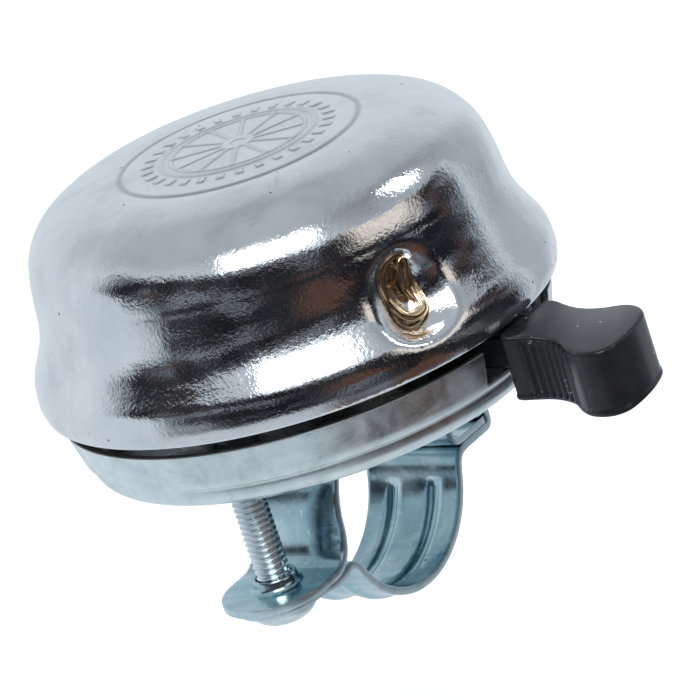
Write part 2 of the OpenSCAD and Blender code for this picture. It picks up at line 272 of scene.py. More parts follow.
def chrome_mat():
    t = NT("chrome_plate")
    z = t.sep(t.obj)[2]
    crown = t.maprange(z, 0.0395, 0.0422, 0, 1, True)
    cloud = t.noise(160, 4, 0.6)
    fine = t.noise(2600, 2, 0.6)
    haze = t.maprange(cloud, 0.35, 0.7, 0.0, 1.0, True)
    tone = t.ramp(cloud, [(0.25, (0.60, 0.62, 0.64)), (0.5, (0.74, 0.755, 0.77)), (0.8, (0.82, 0.83, 0.84))])
    # sparse rust pinholes
    v = t.voronoi(520); dots = t.maprange(v.outputs["Distance"], 0.05, 0.11, 1, 0, True)
    pick = t.math("GREATER_THAN", t.noise(170, 1, 0.5), 0.59)
    rust = t.math("MULTIPLY", dots, pick)
    col = t.mix(rust, tone, (0.10, 0.055, 0.03))
    # dull stains
    stain = t.maprange(t.noise(95, 6, 0.7, dist=1.2), 0.60, 0.74, 0, 1, True)
    col = t.mix(t.math("MULTIPLY", stain, 0.35), col, (0.36, 0.33, 0.31))
    # painted shade: darkens the chrome along the slopes of the embossed wheel and in the crown groove, from the vertex
    # attribute set in build_dome
    at = t.n.new("ShaderNodeAttribute"); at.attribute_name = "relief_shade"
    col = t.mix(t.math("MULTIPLY", at.outputs["Fac"], 0.52), col, (0.16, 0.17, 0.18))
    rough = t.math("ADD", t.math("ADD", t.math("MULTIPLY", haze, 0.07), 0.055), t.math("MULTIPLY", crown, 0.12))
    # painted shade: the inside is coloured dark, as the shaded hollow of the dome; it is also unpolished and rougher
    ai = t.n.new("ShaderNodeAttribute"); ai.attribute_name = "inside"
    col = t.mix(ai.outputs["Fac"], col, t.ramp(cloud, [(0.3, (0.16, 0.155, 0.15)), (0.7, (0.30, 0.295, 0.29))]))
    rough = t.math("ADD", rough, t.math("MULTIPLY", ai.outputs["Fac"], 0.30))
    rough = t.math("ADD", rough, t.math("MULTIPLY", rust, 0.4))
    rough = t.math("ADD", rough, t.math("MULTIPLY", stain, 0.08))
    b1 = t.bump(t.noise(300, 2, 0.5), 0.55, 0.00013)
    b2 = t.bump(fine, 0.9, 0.00003, b1)
    b3 = t.bump(t.math("MULTIPLY", rust, -1.0), 0.5, 0.00005, b2)
    t.set(Base_Color=col, Metallic=1.0, Roughness=rough, Normal=b3)
    return t.m


def zinc_mat(name, lo, mid, hi, rough0=0.24, rough1=0.42, scratch=(1, 1, 1), tint=(0.50, 0.60, 0.66), scale=1.0, bumpd=0.00003, lip=None):
    t = NT(name)
    cloud = t.noise(110 * scale, 5, 0.62, dist=0.6)
    col = t.ramp(cloud, [(0.28, lo), (0.5, mid), (0.74, hi)])
    blot = t.maprange(t.noise(55 * scale, 3, 0.6), 0.5, 0.72, 0, 0.45, True)
    col = t.mix(blot, col, tint)
    sc = t.noise(900, 3, 0.6, src=t.mapping(scratch))
    scr = t.maprange(sc, 0.60, 0.68, 0, 1, True)
    col = t.mix(t.math("MULTIPLY", scr, 0.35), col, (0.88, 0.9, 0.92))
    v = t.voronoi(420); dots = t.maprange(v.outputs["Distance"], 0.06, 0.13, 1, 0, True)
    pick = t.math("GREATER_THAN", t.noise(140, 1, 0.5, src=t.mapping(loc=(3, 1, 2))), 0.60)
    pit = t.math("MULTIPLY", dots, pick)
    col = t.mix(t.math("MULTIPLY", pit, 0.7), col, (0.16, 0.15, 0.15))
    rough = t.maprange(cloud, 0.3, 0.7, rough0, rough1)
    rough = t.math("ADD", rough, t.math("MULTIPLY", pit, 0.25))
    ra = t.n.new("ShaderNodeAttribute"); ra.attribute_name = "rim"
    # painted highlight: lighter, rougher metal along the cut edges and ends of the strips, mottled by noise
    rim_highlight = t.math("MULTIPLY", ra.outputs["Fac"], t.maprange(t.noise(380, 3, 0.6), 0.35, 0.6, 0.30, 0.80, True))
    col = t.mix(rim_highlight, col, (0.70, 0.79, 0.82))
    rough = t.math("ADD", rough, t.math("MULTIPLY", ra.outputs["Fac"], 0.16))
    if lip is not None:
        # painted shade: near-black, duller band on the pan's top edge, where it sits in the shade under the dome's rim
        edge = t.maprange(t.sep(t.obj)[2], lip, lip + 0.0001, 0, 1, True)
        col = t.mix(t.math("MULTIPLY", edge, 0.85), col, (0.10, 0.10, 0.10))
        rough = t.math("ADD", rough, t.math("MULTIPLY", edge, 0.3))
    b = t.bump(t.noise(420, 3, 0.55), 0.5, bumpd)
    b = t.bump(sc, 0.4, 0.000012, b)
    t.set(Base_Color=col, Metallic=1.0, Roughness=rough, Normal=b)
    return t.m


def plastic_mat():
    t = NT("black_plastic")
    cloud = t.noise(150, 4, 0.6)
    col = t.ramp(cloud, [(0.3, (0.006, 0.006, 0.007)), (0.7, (0.016, 0.016, 0.018))])
    sc = t.noise(700, 4, 0.7, src=t.mapping((1, 0.25, 0.6), rot=(0, 0, 0.5)))
    scr = t.maprange(sc, 0.65, 0.705, 0, 1, True)
    v = t.voronoi(600); dots = t.maprange(v.outputs["Distance"], 0.05, 0.12, 1, 0, True)
    pick = t.math("GREATER_THAN", t.noise(210, 1, 0.5), 0.60)
    dust = t.math("MULTIPLY", dots, pick)
    col = t.mix(t.math("MULTIPLY", scr, 0.40), col, (0.30, 0.30, 0.31))
    col = t.mix(t.math("MULTIPLY", dust, 0.55), col, (0.45, 0.45, 0.45))
    rough = t.math("ADD", t.maprange(cloud, 0.3, 0.7, 0.16, 0.28), t.math("MULTIPLY", scr, 0.25))
    b = t.bump(t.noise(600, 3, 0.5), 0.35, 0.00002)
    b = t.bump(t.noise(130, 2, 0.5), 0.3, 0.00012, b)
    t.set(Base_Color=col, Metallic=0.0, Roughness=rough, Normal=b)
    t.p.inputs["Specular IOR Level"].default_value = 0.30
    return t.m


CHROME = chrome_mat()
# lip on PAN sets the height where the painted shade on the pan's top edge begins
PAN = zinc_mat("pan_zinc", (0.50, 0.57, 0.58), (0.72, 0.78, 0.79), (0.88, 0.92, 0.92), 0.20, 0.42, scratch=(1, 1, 4), tint=(0.50, 0.57, 0.58), scale=2.0, bumpd=0.00006, lip=0.01822)
ZINC = zinc_mat("blue_zinc", (0.20, 0.34, 0.40), (0.42, 0.57, 0.62), (0.82, 0.89, 0.91), 0.10, 0.27, scratch=(2, 1, 0.4), tint=(0.22, 0.40, 0.47), bumpd=0.00005)
SCREW = zinc_mat("screw_zinc", (0.58, 0.64, 0.67), (0.72, 0.77, 0.79), (0.84, 0.87, 0.88), 0.16, 0.30, scratch=(1, 1, 1), tint=(0.6, 0.68, 0.72))
STEEL = zinc_mat("inner_zinc", (0.46, 0.48, 0.50), (0.62, 0.64, 0.66), (0.76, 0.78, 0.79), 0.28, 0.46, scratch=(1, 5, 5), tint=(0.55, 0.56, 0.50))
DARK = zinc_mat("oiled_steel", (0.16, 0.16, 0.17), (0.27, 0.27, 0.28), (0.40, 0.40, 0.41), 0.26, 0.45, tint=(0.22, 0.19, 0.16))
BRASS = zinc_mat("brass", (0.34, 0.20, 0.09), (0.80, 0.58, 0.35), (0.97, 0.84, 0.64), 0.10, 0.22, tint=(0.50, 0.31, 0.16))
GEARBRASS = zinc_mat("gear_brass", (0.55, 0.43, 0.20), (0.72, 0.58, 0.30), (0.83, 0.70, 0.42), 0.26, 0.42, tint=(0.46, 0.34, 0.16))
SPRING = zinc_mat("spring_steel", (0.24, 0.25, 0.27), (0.36, 0.37, 0.39), (0.52, 0.53, 0.55), 0.18, 0.32, tint=(0.26, 0.24, 0.24))
PLASTIC = plastic_mat()

for names, mat in ((("bridge_plate", "bridge_pillars", "center_post", "rotor_bar", "dome_boss", "lever_pivot_pin", "idler_pin", "idler_washer",
                     "spring_anchor_pin", "hammer_pins"), STEEL), (("bridge_screws",), SCREW), (("pin_clips", "rotor_clip", "hammer_a", "hammer_b"), DARK),
                   (("idler_gear", "rotor_hub"), GEARBRASS), (("lever_return_spring",), SPRING)):
    for nm in names:
        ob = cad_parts[nm]
        for i in range(max(1, len(ob.material_slots))):
            if len(ob.material_slots): ob.material_slots[i].material = mat
            else: ob.data.materials.append(mat)

# ------------------------------------------------------------------ dome
RIM = 30.2
DOME_PTS = [[6, 43.0], [11, 42.9], [16, 42.6], [20, 42.0], [22.6, 41.0], [24.6, 39.6], [26.0, 37.6], [26.7, 35.4], [27.1, 33.0], [27.3, 31.0],
            [27.6, 29.2], [28.2, 27.4], [29.1, 25.6], [29.9, 24.0], [RIM, 22.4], [RIM, 21.2], [RIM - 0.3, 20.0]]
DIMPLE_AZ, DIMPLE_Z = math.radians(-114), 30.0


def wheel_motif(x, y):
    """Relief of a plain spoked wheel with a toothed ring, in mm above the crown."""
    r = np.hypot(x, y); a = np.arctan2(y, x)
    h = np.zeros_like(r)
    g = lambda d, w: np.exp(-(d / w) ** 2)
    h -= 0.16 * g(r - 13.8, 0.24)
    h += 0.13 * g(r - 8.9, 0.34) + 0.12 * g(r - 7.8, 0.24)
    h += 0.16 * smoothstep(2.2, 1.7, r)
    h -= 0.14 * smoothstep(1.0, 0.6, r)
    spoke = np.abs(((a * 12 / (2 * np.pi)) % 1) - 0.5) * 2 * np.pi / 12 * r
    spoke = np.pi / 12 * r - spoke
    h += 0.13 * g(spoke, 0.26) * smoothstep(1.6, 2.2, r) * smoothstep(8.0, 7.5, r)
    t = np.cos(a * 30)
    h += 0.13 * smoothstep(0.1, 0.6, t) * smoothstep(9.7, 10.0, r) * smoothstep(11.3, 11.0, r)
    return h


def build_dome():
    prof = crspline(DOME_PTS, 12)
    crown = np.array([[r, 43.0 - 0.0 * r] for r in np.linspace(0.12, 6, 28, endpoint=False)])
    c1 = prof[prof[:, 0] < 14.2]; c2 = prof[len(c1):]
    c1 = resample(c1, step=0.2); c2 = resample(np.vstack([c1[-1], c2]), n=104)[1:]
    out = np.vstack([crown, c1, c2])
    T = np.gradient(out, axis=0); T /= np.linalg.norm(T, axis=1)[:, None]
    N = np.stack([-T[:, 1], T[:, 0]], 1)            # outward: +r on the wall, +z on the crown
    n = 432
    th = 2 * np.pi * np.arange(n) / n
    R = out[:, 0][:, None] * np.ones(n); Z = out[:, 1][:, None] * np.ones(n)
    TH = th[None, :] * np.ones((len(out), 1))
    # striker dimples
    disp = np.zeros_like(R)
    for az in (DIMPLE_AZ, DIMPLE_AZ + math.pi):
        dth = (TH - az + np.pi) % (2 * np.pi) - np.pi
        u, v = dth * 27.2, Z - DIMPLE_Z
        rho = np.hypot((u - 0.4) / 4.5, (v + 0.8) / 4.6)
        oval = np.hypot((u - 0.4) / 2.6, (v + 0.7) / 3.9)
        bowl_r = 25.45 + 2.2 * rho ** 2 + 0.35 * rho ** 4 - 0.9 * smoothstep(1.15, 0.45, oval)
        q = np.clip((R - bowl_r) / 0.55, -40, 40)
        disp += -0.55 * np.log1p(np.exp(q)) * smoothstep(1.75, 1.15, rho)
    inner_disp = disp.copy()
    # uneven hand-pressed surface
    X, Y = R * np.cos(TH), R * np.sin(TH)
    wob = np.zeros_like(R)
    for i in range(R.shape[0]):
        for j in range(0, n):
            p = Vector((X[i, j], Y[i, j], Z[i, j]))
            wob[i, j] = 0.055 * noise.noise(p * 0.11) + 0.022 * noise.noise(p * 0.33 + Vector((7, 3, 1)))
    fade = smoothstep(0.0, 2.0, R) * smoothstep(20.0, 20.8, Z) * smoothstep(29.9, 30.0, 30.2 - 0.0 * R)
    wall = smoothstep(42.4, 41.0, Z)
    disp = disp + wob * fade * (0.35 + 0.65 * wall) - 0.03 * wall
    # faint draw line round the body
    disp -= 0.05 * np.exp(-((Z - 34.0 - 0.25 * np.sin(TH * 2)) / 0.16) ** 2) * smoothstep(-0.2, 0.5, np.cos(TH - math.radians(-170)))
    disp -= 0.04 * np.exp(-((Z - 22.0) / 0.2) ** 2) * (R > 25)
    disp = np.where(R < 14.4, disp - 0.10 + wheel_motif(X, Y), disp - 0.10 * smoothstep(16, 14.4, R))
    # painted shade for the chrome: darker where the embossed wheel slopes and along the crown groove at r 13.8
    e_ = 0.05
    gx, gy = (wheel_motif(X + e_, Y) - wheel_motif(X - e_, Y)) / (2 * e_), (wheel_motif(X, Y + e_) - wheel_motif(X, Y - e_)) / (2 * e_)
    relief_shade = np.clip(np.hypot(gx, gy) * 1.5, 0, 1) * (R < 15)
    relief_shade = np.maximum(relief_shade, 0.95 * np.exp(-((R - 13.8) / 0.20) ** 2))
    Ro = R + N[:, 0][:, None] * disp; Zo = Z + N[:, 1][:, None] * disp
    Zo = np.minimum(Zo, 43.0); Ro = np.minimum(Ro, RIM)
    # inner skin, thinned to fewer rings
    keep = sorted(set(list(range(0, len(out), 6)) + list(range(len(out) - 62, len(out), 3)) + [len(out) - 1]))
    th_ = 1.0
    Ri = (out[keep, 0] - N[keep, 0] * th_)[:, None] + N[keep, 0][:, None] * inner_disp[keep]
    Zi = (out[keep, 1] - N[keep, 1] * th_)[:, None] + N[keep, 1][:, None] * inner_disp[keep]
    Zi[-1] = 20.0; Ri[-1] = out[-1, 0] - 1.0
    Zi = np.maximum(Zi, 20.0)
    # rounded, slightly curled rim edge
    e0r, e0z = Ro[-1], Zo[-1]
    verts, rings = [], []
    def ring(r, z):
        base = len(verts)
        verts.extend(np.stack([r * np.cos(th), r * np.sin(th), z], 1).tolist()); rings.append(range(base, base + n))
    verts.append([0, 0, float(Zo[0].mean())]); top = 0
    for i in range(len(out)): ring(Ro[i], Zo[i] if i < len(out) - 1 else Zo[i] + 0.12)
    for f, dz in ((0.12, 0.03), (0.35, 0.0), (0.65, 0.0), (0.88, 0.03)):
        ring(Ro[-1] * (1 - f) + Ri[-1] * f, np.full(n, 20.0 + dz))
    for i in range(len(keep) - 1, -1, -1): ring(Ri[i], Zi[i] if i < len(keep) - 1 else Zi[i] + 0.12)
    verts.append([0, 0, 42.0]); bot = len(verts) - 1
    faces = [(top, rings[0][k], rings[0][(k + 1) % n]) for k in range(n)]
    for a, b in zip(rings[:-1], rings[1:]):
        faces += [(a[k], b[k], b[(k + 1) % n], a[(k + 1) % n]) for k in range(n)]
    last = rings[-1]
    faces += [(last[k], bot, last[(k + 1) % n]) for k in range(n)]
    ob = add_mesh("dome_shell_skin", verts, faces, CHROME)
    vals = np.zeros(len(ob.data.vertices)); vals[1:1 + relief_shade.size] = relief_shade.ravel()
    ob.data.attributes.new("relief_shade", "FLOAT", "POINT").data.foreach_set("value", vals.astype(np.float32))
    # inside marks the inner skin, which the chrome material darkens as painted shade
    ins = np.zeros(len(ob.data.vertices)); ins[1 + n * (len(out) + 3):] = 1.0
    ob.data.attributes.new("inside", "FLOAT", "POINT").data.foreach_set("value", ins.astype(np.float32))
    return ob


dome = build_dome()
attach(dome, "dome_shell"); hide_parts("dome")


# striker: tubular brass loop folded into each dimple, riveted through the wall
def build_strikers():
    obs = []
    for az in (DIMPLE_AZ, DIMPLE_AZ + math.pi):
        er = np.array([math.cos(az), math.sin(az), 0]); et = np.array([-math.sin(az), math.cos(az), 0]); ez = np.array([0, 0, 1.0])
        def P(u, v, d): return (er * d + et * u + ez * (DIMPLE_Z + v)).tolist()
        # link-shaped loop, long way upright, with a heavy bight at the bottom
        uv = [(2.31, 1.79), (1.3, 2.25), (0.0, 2.31), (-1.04, 1.67), (-1.54, 0.72), (-1.63, -0.55), (-1.45, -1.94), (-1.02, -3.12), (-0.5, -4.08),
              (0.44, -4.49), (1.43, -4.3), (1.81, -3.72), (1.7, -2.81), (1.54, -1.87), (1.51, -0.81), (1.8, 0.38), (2.0, 1.34)]
        rr = [0.34, 0.46, 0.60, 0.62, 0.58, 0.52, 0.46, 0.44, 0.52, 0.66, 0.66, 0.60, 0.46, 0.40, 0.36, 0.34, 0.32]
        q = crspline([[u, v] for u, v in uv], 7, closed=True)
        rad = crspline([[r_, 0.0] for r_ in rr], 7, closed=True)[:, 0]
        dd = 25.72 + 1.25 * smoothstep(-1.5, -5.0, q[:, 1])
        obs.append(tube("loop", [P(u, v, d) for (u, v), d in zip(q, dd)], list(rad), BRASS, n=20, closed=True))
        # doubled strand beside the straight limb
        q = crspline([[1.95, 1.75], [1.30, 1.25], [1.12, 0.2], [0.95, -0.9], [1.0, -1.95], [1.25, -2.9], [1.7, -3.6]], 8)
        dd = 25.62 + 1.25 * smoothstep(-1.5, -5.0, q[:, 1])
        obs.append(tube("strand", [P(u, v, d) for (u, v), d in zip(q, dd)], [0.27 + 0.05 * math.sin(math.pi * t) for t in np.linspace(0, 1, len(q))], BRASS, n=14))
        # saddle at the bottom of the dimple, shank and inner head
        prof = [(0, 23.1), (1.9, 23.1), (2.2, 23.25), (2.2, 23.55), (2.0, 23.7), (1.2, 23.72), (1.2, 24.4), (1.3, 24.55), (1.1, 24.75), (0.6, 24.72), (0, 24.7)]
        rv = revolve("rivet", prof, BRASS, n=48)
        M = Matrix(((0, -math.sin(az), math.cos(az), 0), (0, math.cos(az), math.sin(az), 0), (-1, 0, 0, 0), (0, 0, 0, 1)))
        rv.data.transform(Matrix.Translation((0, 0, DIMPLE_Z * MM)) @ M)
        outward(rv)
        obs.append(rv)
    ob = join_objs("striker_loops", obs)
    return ob


strikers = sharp(build_strikers(), 60)
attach(strikers, "dome_shell"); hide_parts("striker_rivets")


# ------------------------------------------------------------------ base pan
def cyl_tool(r, z0, z1, x=0, y=0, n=64):
    return revolve("t", [(0, z0), (r, z0), (r, z1), (0, z1)], ZINC, n=n, center=(x, y), closed=False)


def build_pan():
    outer = [(0, 12.0), (2.0, 12.0), (8, 12.0), (13.4, 12.0), (14.2, 11.93), (14.9, 11.5), (15.5, 11.12), (16.1, 11.0), (20, 11.0), (24.0, 11.0)]
    outer += [(24.85 + 2.1 * math.cos(math.radians(a)), 13.1 + 2.1 * math.sin(math.radians(a))) for a in range(-88, 12, 7)]
    outer += [(26.98, 13.45), (27.02, 13.62), (27.16, 13.72), (27.42, 13.84), (27.56, 14.05), (27.78, 14.9), (28.1, 16.2), (28.4, 17.4), (28.56, 18.1), (28.6, 18.28)]
    lip = [(28.52, 18.38), (28.3, 18.4), (27.9, 18.4), (27.74, 18.3)]
    inner = [(27.66, 18.0), (27.2, 16.2), (26.7, 14.1), (26.3, 13.6)]
    inner += [(24.9 + 1.2 * math.cos(math.radians(a)), 13.1 + 1.2 * math.sin(math.radians(a))) for a in range(10, -90, -12)]
    inner += [(24, 11.9), (16.3, 11.9), (15.7, 12.3), (15.0, 12.78), (14.4, 12.8), (8, 12.8), (0, 12.8)]
    ob = revolve("base_pan_skin", outer + lip + inner, PAN, n=256, closed=False)
    # notch for the lever arm
    a0, a1 = math.radians(-101), math.radians(-68)
    v = []
    for z in (14.6, 20.6):
        v += [(24 * math.cos(a0), 24 * math.sin(a0), z), (32 * math.cos(a0), 32 * math.sin(a0), z), (33 * math.cos((a0 + a1) / 2), 33 * math.sin((a0 + a1) / 2), z),
              (32 * math.cos(a1), 32 * math.sin(a1), z), (24 * math.cos(a1), 24 * math.sin(a1), z)]
    f = [(4, 3, 2, 1, 0), (5, 6, 7, 8, 9)] + [(i, (i + 1) % 5, (i + 1) % 5 + 5, i + 5) for i in range(5)]
    tool = outward(add_mesh("t", v, f, PAN))
    cut(ob, [tool])
    # holes for the riveted pins and pillars
    cut(ob, [cyl_tool(r_ + 0.04, 9.0, 14.0, x=x_, y=y_, n=48) for r_, x_, y_ in ((1.5, 1.0, -19.0), (1.25, 11.45, -6.77), (0.8, -6.5, -17.5), (1.2, -9.0, 6.0), (1.2, 6.5, 9.5))])
    bv = ob.modifiers.new("b", "BEVEL"); bv.width = 0.00012; bv.segments = 2; bv.limit_method = "ANGLE"; bv.angle_limit = math.radians(50)
    bake(ob)
    return sharp(ob, 40)


pan = build_pan()
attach(pan, "base"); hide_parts("base_pan")


# ------------------------------------------------------------------ bent strips of the clamp
def soften(p, sigma, step=0.12):
    """Resamples a polyline and rounds its corners over about sigma mm, ends kept."""
    q = resample(p, step=step); k = int(3 * sigma / step) + 1
    w = np.exp(-0.5 * (np.arange(-k, k + 1) * step / sigma) ** 2); w /= w.sum()
    pad = np.vstack([2 * q[0] - q[k:0:-1], q, 2 * q[-1] - q[-2:-k - 2:-1]])
    return np.stack([np.convolve(pad[:, i], w, "valid") for i in range(2)], 1)


def arc_pts(r, a0, a1, n=40):
    return [(r * math.cos(math.radians(a)), r * math.sin(math.radians(a))) for a in np.linspace(a0, a1, n)]


def strip(name, path, t, mat, ear_x=-17.5, half=6.5, rib=None, sign=1.0, ear_r=6.5, taper_x=-17.5):
    """Sheet-metal strip: path in XZ, thickness t, width 2*half, with a round ear about ear_x."""
    P = np.asarray(path, float)
    T = np.gradient(P, axis=0); T /= np.linalg.norm(T, axis=1)[:, None]
    N = np.stack([-T[:, 1], T[:, 0]], 1) * sign
    # width follows the round ear at the tip
    tip = ear_x - half
    W = np.full(len(P), half)
    left = P[:, 0] < ear_x
    W[left] = np.sqrt(np.maximum(ear_r ** 2 - (P[left, 0] - ear_x) ** 2, 0.02))
    mid = (~left) & (P[:, 0] < taper_x) & (P[:, 1] < 0)
    W[mid] = ear_r + (half - ear_r) * smoothstep(ear_x, taper_x, P[mid, 0])
    e = 0.12
    m = 40
    verts, rings = [], []
    u = np.linspace(-1, 1, m)
    for i in range(len(P)):
        w = W[i]; base = len(verts)
        ee = min(e, w * 0.4)
        sec = [(-w + ee + (w - ee) * (k + 1), 1) for k in u]
        right = [(w - ee * 0.3, 0.93), (w, 0.70), (w, -0.70), (w - ee * 0.3, -0.93)]
        back = [(w - ee - (w - ee) * (k + 1), -1) for k in u]
        leftp = [(-w + ee * 0.3, -0.93), (-w, -0.70), (-w, 0.70), (-w + ee * 0.3, 0.93)]
        for (y, s_) in sec + right + back + leftp:
            d = rib(i, y, P[i]) if rib else 0.0
            q = P[i] + N[i] * (s_ * t / 2 + d)
            verts.append((q[0], y, q[1]))
        rings.append(range(base, len(verts)))
    n = len(rings[0]); faces = []
    for a, b in zip(rings[:-1], rings[1:]):
        faces += [(a[k], a[(k + 1) % n], b[(k + 1) % n], b[k]) for k in range(n)]
    for rg, flip in ((list(rings[0]), False), (list(rings[-1]), True)):
        # cap as a ladder of quads between the two faces of the strip
        for k in range(m - 1):
            f = (rg[k], rg[k + 1], rg[m + 4 + (m - 1 - k - 1)], rg[m + 4 + (m - 1 - k)])
            faces.append(f)
        faces.append(tuple(rg[m - 1 + j] for j in range(6)))
        faces.append(tuple([rg[2 * m + 3 + j] for j in range(5)] + [rg[0]]))
    ob = add_mesh(name, verts, faces, mat)
    # rim marks the side edges and end caps, where the zinc materials paint an edge highlight
    rim = np.zeros(len(verts), np.float32)
    for rg in rings:
        for k in list(range(m, m + 4)) + list(range(2 * m + 4, 2 * m + 8)): rim[rg[k]] = 1.0
    for k in list(rings[0]) + list(rings[-1]): rim[k] = 1.0
    ob.data.attributes.new("rim", "FLOAT", "POINT").data.foreach_set("value", rim)
    return outward(ob)


def dense_tip(path, ear_x=-17.5, half=6.5):
    """Replaces the first stretch of a path by steps that follow the round ear closely."""
    P = np.asarray(path, float)
    i = int(np.argmax(P[:, 0] > ear_x))
    z = P[0, 1]
    a = np.linspace(math.radians(4), math.pi / 2, 26)
    head = np.array([(ear_x - half * math.cos(k), np.interp(ear_x - half * math.cos(k), P[:i + 1, 0], P[:i + 1, 1])) for k in a])
    return np.vstack([head, P[i:]])


up = [(-24, -3.25), (-14.4, -3.25), (-13.15, -2.75), (-12.3, -1.75), (-11.82, -0.6)] + arc_pts(11.55, 178, 120.25) + [(-3.0, 11.55), (3.0, 11.55)] + arc_pts(11.55, 59.75, 0) + [(11.75, -0.25), (12.3, -0.55), (18.05, -0.55)]
up = dense_tip(soften(up, 0.6))
upper = strip("upper_strap_band", up, 0.9, ZINC, sign=1.0)
cut(upper, [cyl_tool(2.08, -5, 1, x=-17.5)])
collar = revolve("collar", [(2.06, -3.3), (3.3, -2.86), (3.0, -2.78), (2.78, -2.62), (2.62, -2.35), (2.55, -2.0), (2.53, -1.65), (2.45, -1.52), (2.3, -1.5), (2.12, -1.56), (2.06, -1.75)], ZINC, n=96, center=(-17.5, 0))
upper = sharp(join_objs("upper_strap_band", [upper, collar]), 42)
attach(upper, "base"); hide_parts("upper_strap")

lo = [(-22.7, -4.24), (-14.5, -4.24), (-13.3, -3.95), (-12.1, -3.42), (-11.3, -3.75)] + arc_pts(11.58, 204, 343) + [(11.55, -2.35), (12.35, -1.68), (13.5, -1.5), (18.55, -1.5), (18.9, -1.2), (18.9, 0.35), (18.65, 0.65), (17.0, 0.65)]
lo = dense_tip(soften(lo, 0.40), half=5.2)


def lower_rib(i, y, p):
    a = math.degrees(math.atan2(p[1], p[0])) % 360
    r = math.hypot(p[0], p[1])
    if not 195 < a < 350 or r > 12.6: return 0.0
    f = float(smoothstep(212, 218, a) * smoothstep(340, 334, a))
    return -0.42 * f * (math.exp(-((y - 2.9) / 0.62) ** 2) + math.exp(-((y + 2.9) / 0.62) ** 2))


lower = strip("lower_strap_band", lo, 0.93, ZINC, rib=lower_rib, sign=1.0, ear_r=5.2, taper_x=-13.0)
cut(lower, [cyl_tool(2.7, -8, 0, x=-17.5)])
sharp(lower, 42)
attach(lower, "strap"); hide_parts("lower_strap")


# ------------------------------------------------------------------ clamp screw with a real helical thread
def build_screw():
    n, dz, pitch = 56, 0.05, 0.7
    zs = np.arange(-5.0, 9.55, dz)
    th = 2 * np.pi * np.arange(n) / n
    verts, rings = [], []
    for z in zs:
        ph = (z / pitch - th / (2 * np.pi)) % 1.0
        tri = 1 - np.abs(ph - 0.5) * 2
        prof = np.clip((tri - 0.10) / 0.72, 0, 1)
        r = 1.98 - 0.43 * (1 - prof)
        end = np.clip((9.6 - z) / 0.55, 0, 1)
        r = np.minimum(r, 1.5 + 0.48 * end)
        base = len(verts); verts += np.stack([r * np.cos(th), r * np.sin(th), np.full(n, z)], 1).tolist(); rings.append(range(base, base + n))
    verts.append([0, 0, float(zs[-1])]); verts.append([0, 0, float(zs[0])])
    faces = []
    for a, b in zip(rings[:-1], rings[1:]): faces += [(a[k], a[(k + 1) % n], b[(k + 1) % n], b[k]) for k in range(n)]
    faces += [(rings[-1][k], rings[-1][(k + 1) % n], len(verts) - 2) for k in range(n)]
    faces += [(rings[0][(k + 1) % n], rings[0][k], len(verts) - 1) for k in range(n)]
    shank = outward(add_mesh("shank", verts, faces, SCREW)); shank.data.transform(Matrix.Translation((-0.0175, 0, 0)))
    prof = [(0, -4.8), (3.5, -4.8), (3.68, -4.86), (3.75, -5.0), (3.72, -5.3)] + [(3.72 * math.cos(a), -5.35 - 1.82 * math.sin(a)) for a in np.linspace(0.05, 1.45, 18)] + [(0, -7.18)]
    head = revolve("head", prof, SCREW, n=96, center=(-17.5, 0), closed=False)
    tools = []
    for w, l in ((0.75, 4.2), (4.2, 0.75)):
        v = [(-17.5 + sx * w / 2 * k, sy * l / 2 * k, z) for z, k in ((-7.6, 1.0), (-5.9, 0.55)) for sx, sy in ((-1, -1), (1, -1), (1, 1), (-1, 1))]
        tools.append(outward(add_mesh("t", v, [(3, 2, 1, 0), (4, 5, 6, 7), (0, 1, 5, 4), (1, 2, 6, 5), (2, 3, 7, 6), (3, 0, 4, 7)], SCREW)))
    cut(head, tools)
    sharp(head, 40)
    return join_objs("clamp_screw_threaded", [shank, head])


screw = build_screw()
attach(screw, "screw"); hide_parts("clamp_screw")

# ------------------------------------------------------------------ thumb lever
PAD = [[4.9, -30.1], [5.2, -31.4], [4.3, -33.1], [3.3, -35.0], [2.6, -37.2], [2.5, -39.4], [2.9, -41.2], [2.9, -42.8], [2.1, -44.5],
       [0.8, -45.7], [-1.0, -46.4], [-3.2, -46.9], [-5.8, -47.1], [-8.0, -46.9], [-9.3, -45.9], [-9.7, -44.4], [-9.4, -42.5], [-8.2, -40.6],
       [-6.5, -38.8], [-5.3, -36.6], [-4.7, -34.5], [-4.6, -32.2], [-4.6, -30.4], [-4.0, -29.5], [-1.0, -29.4], [2.5, -29.5]]


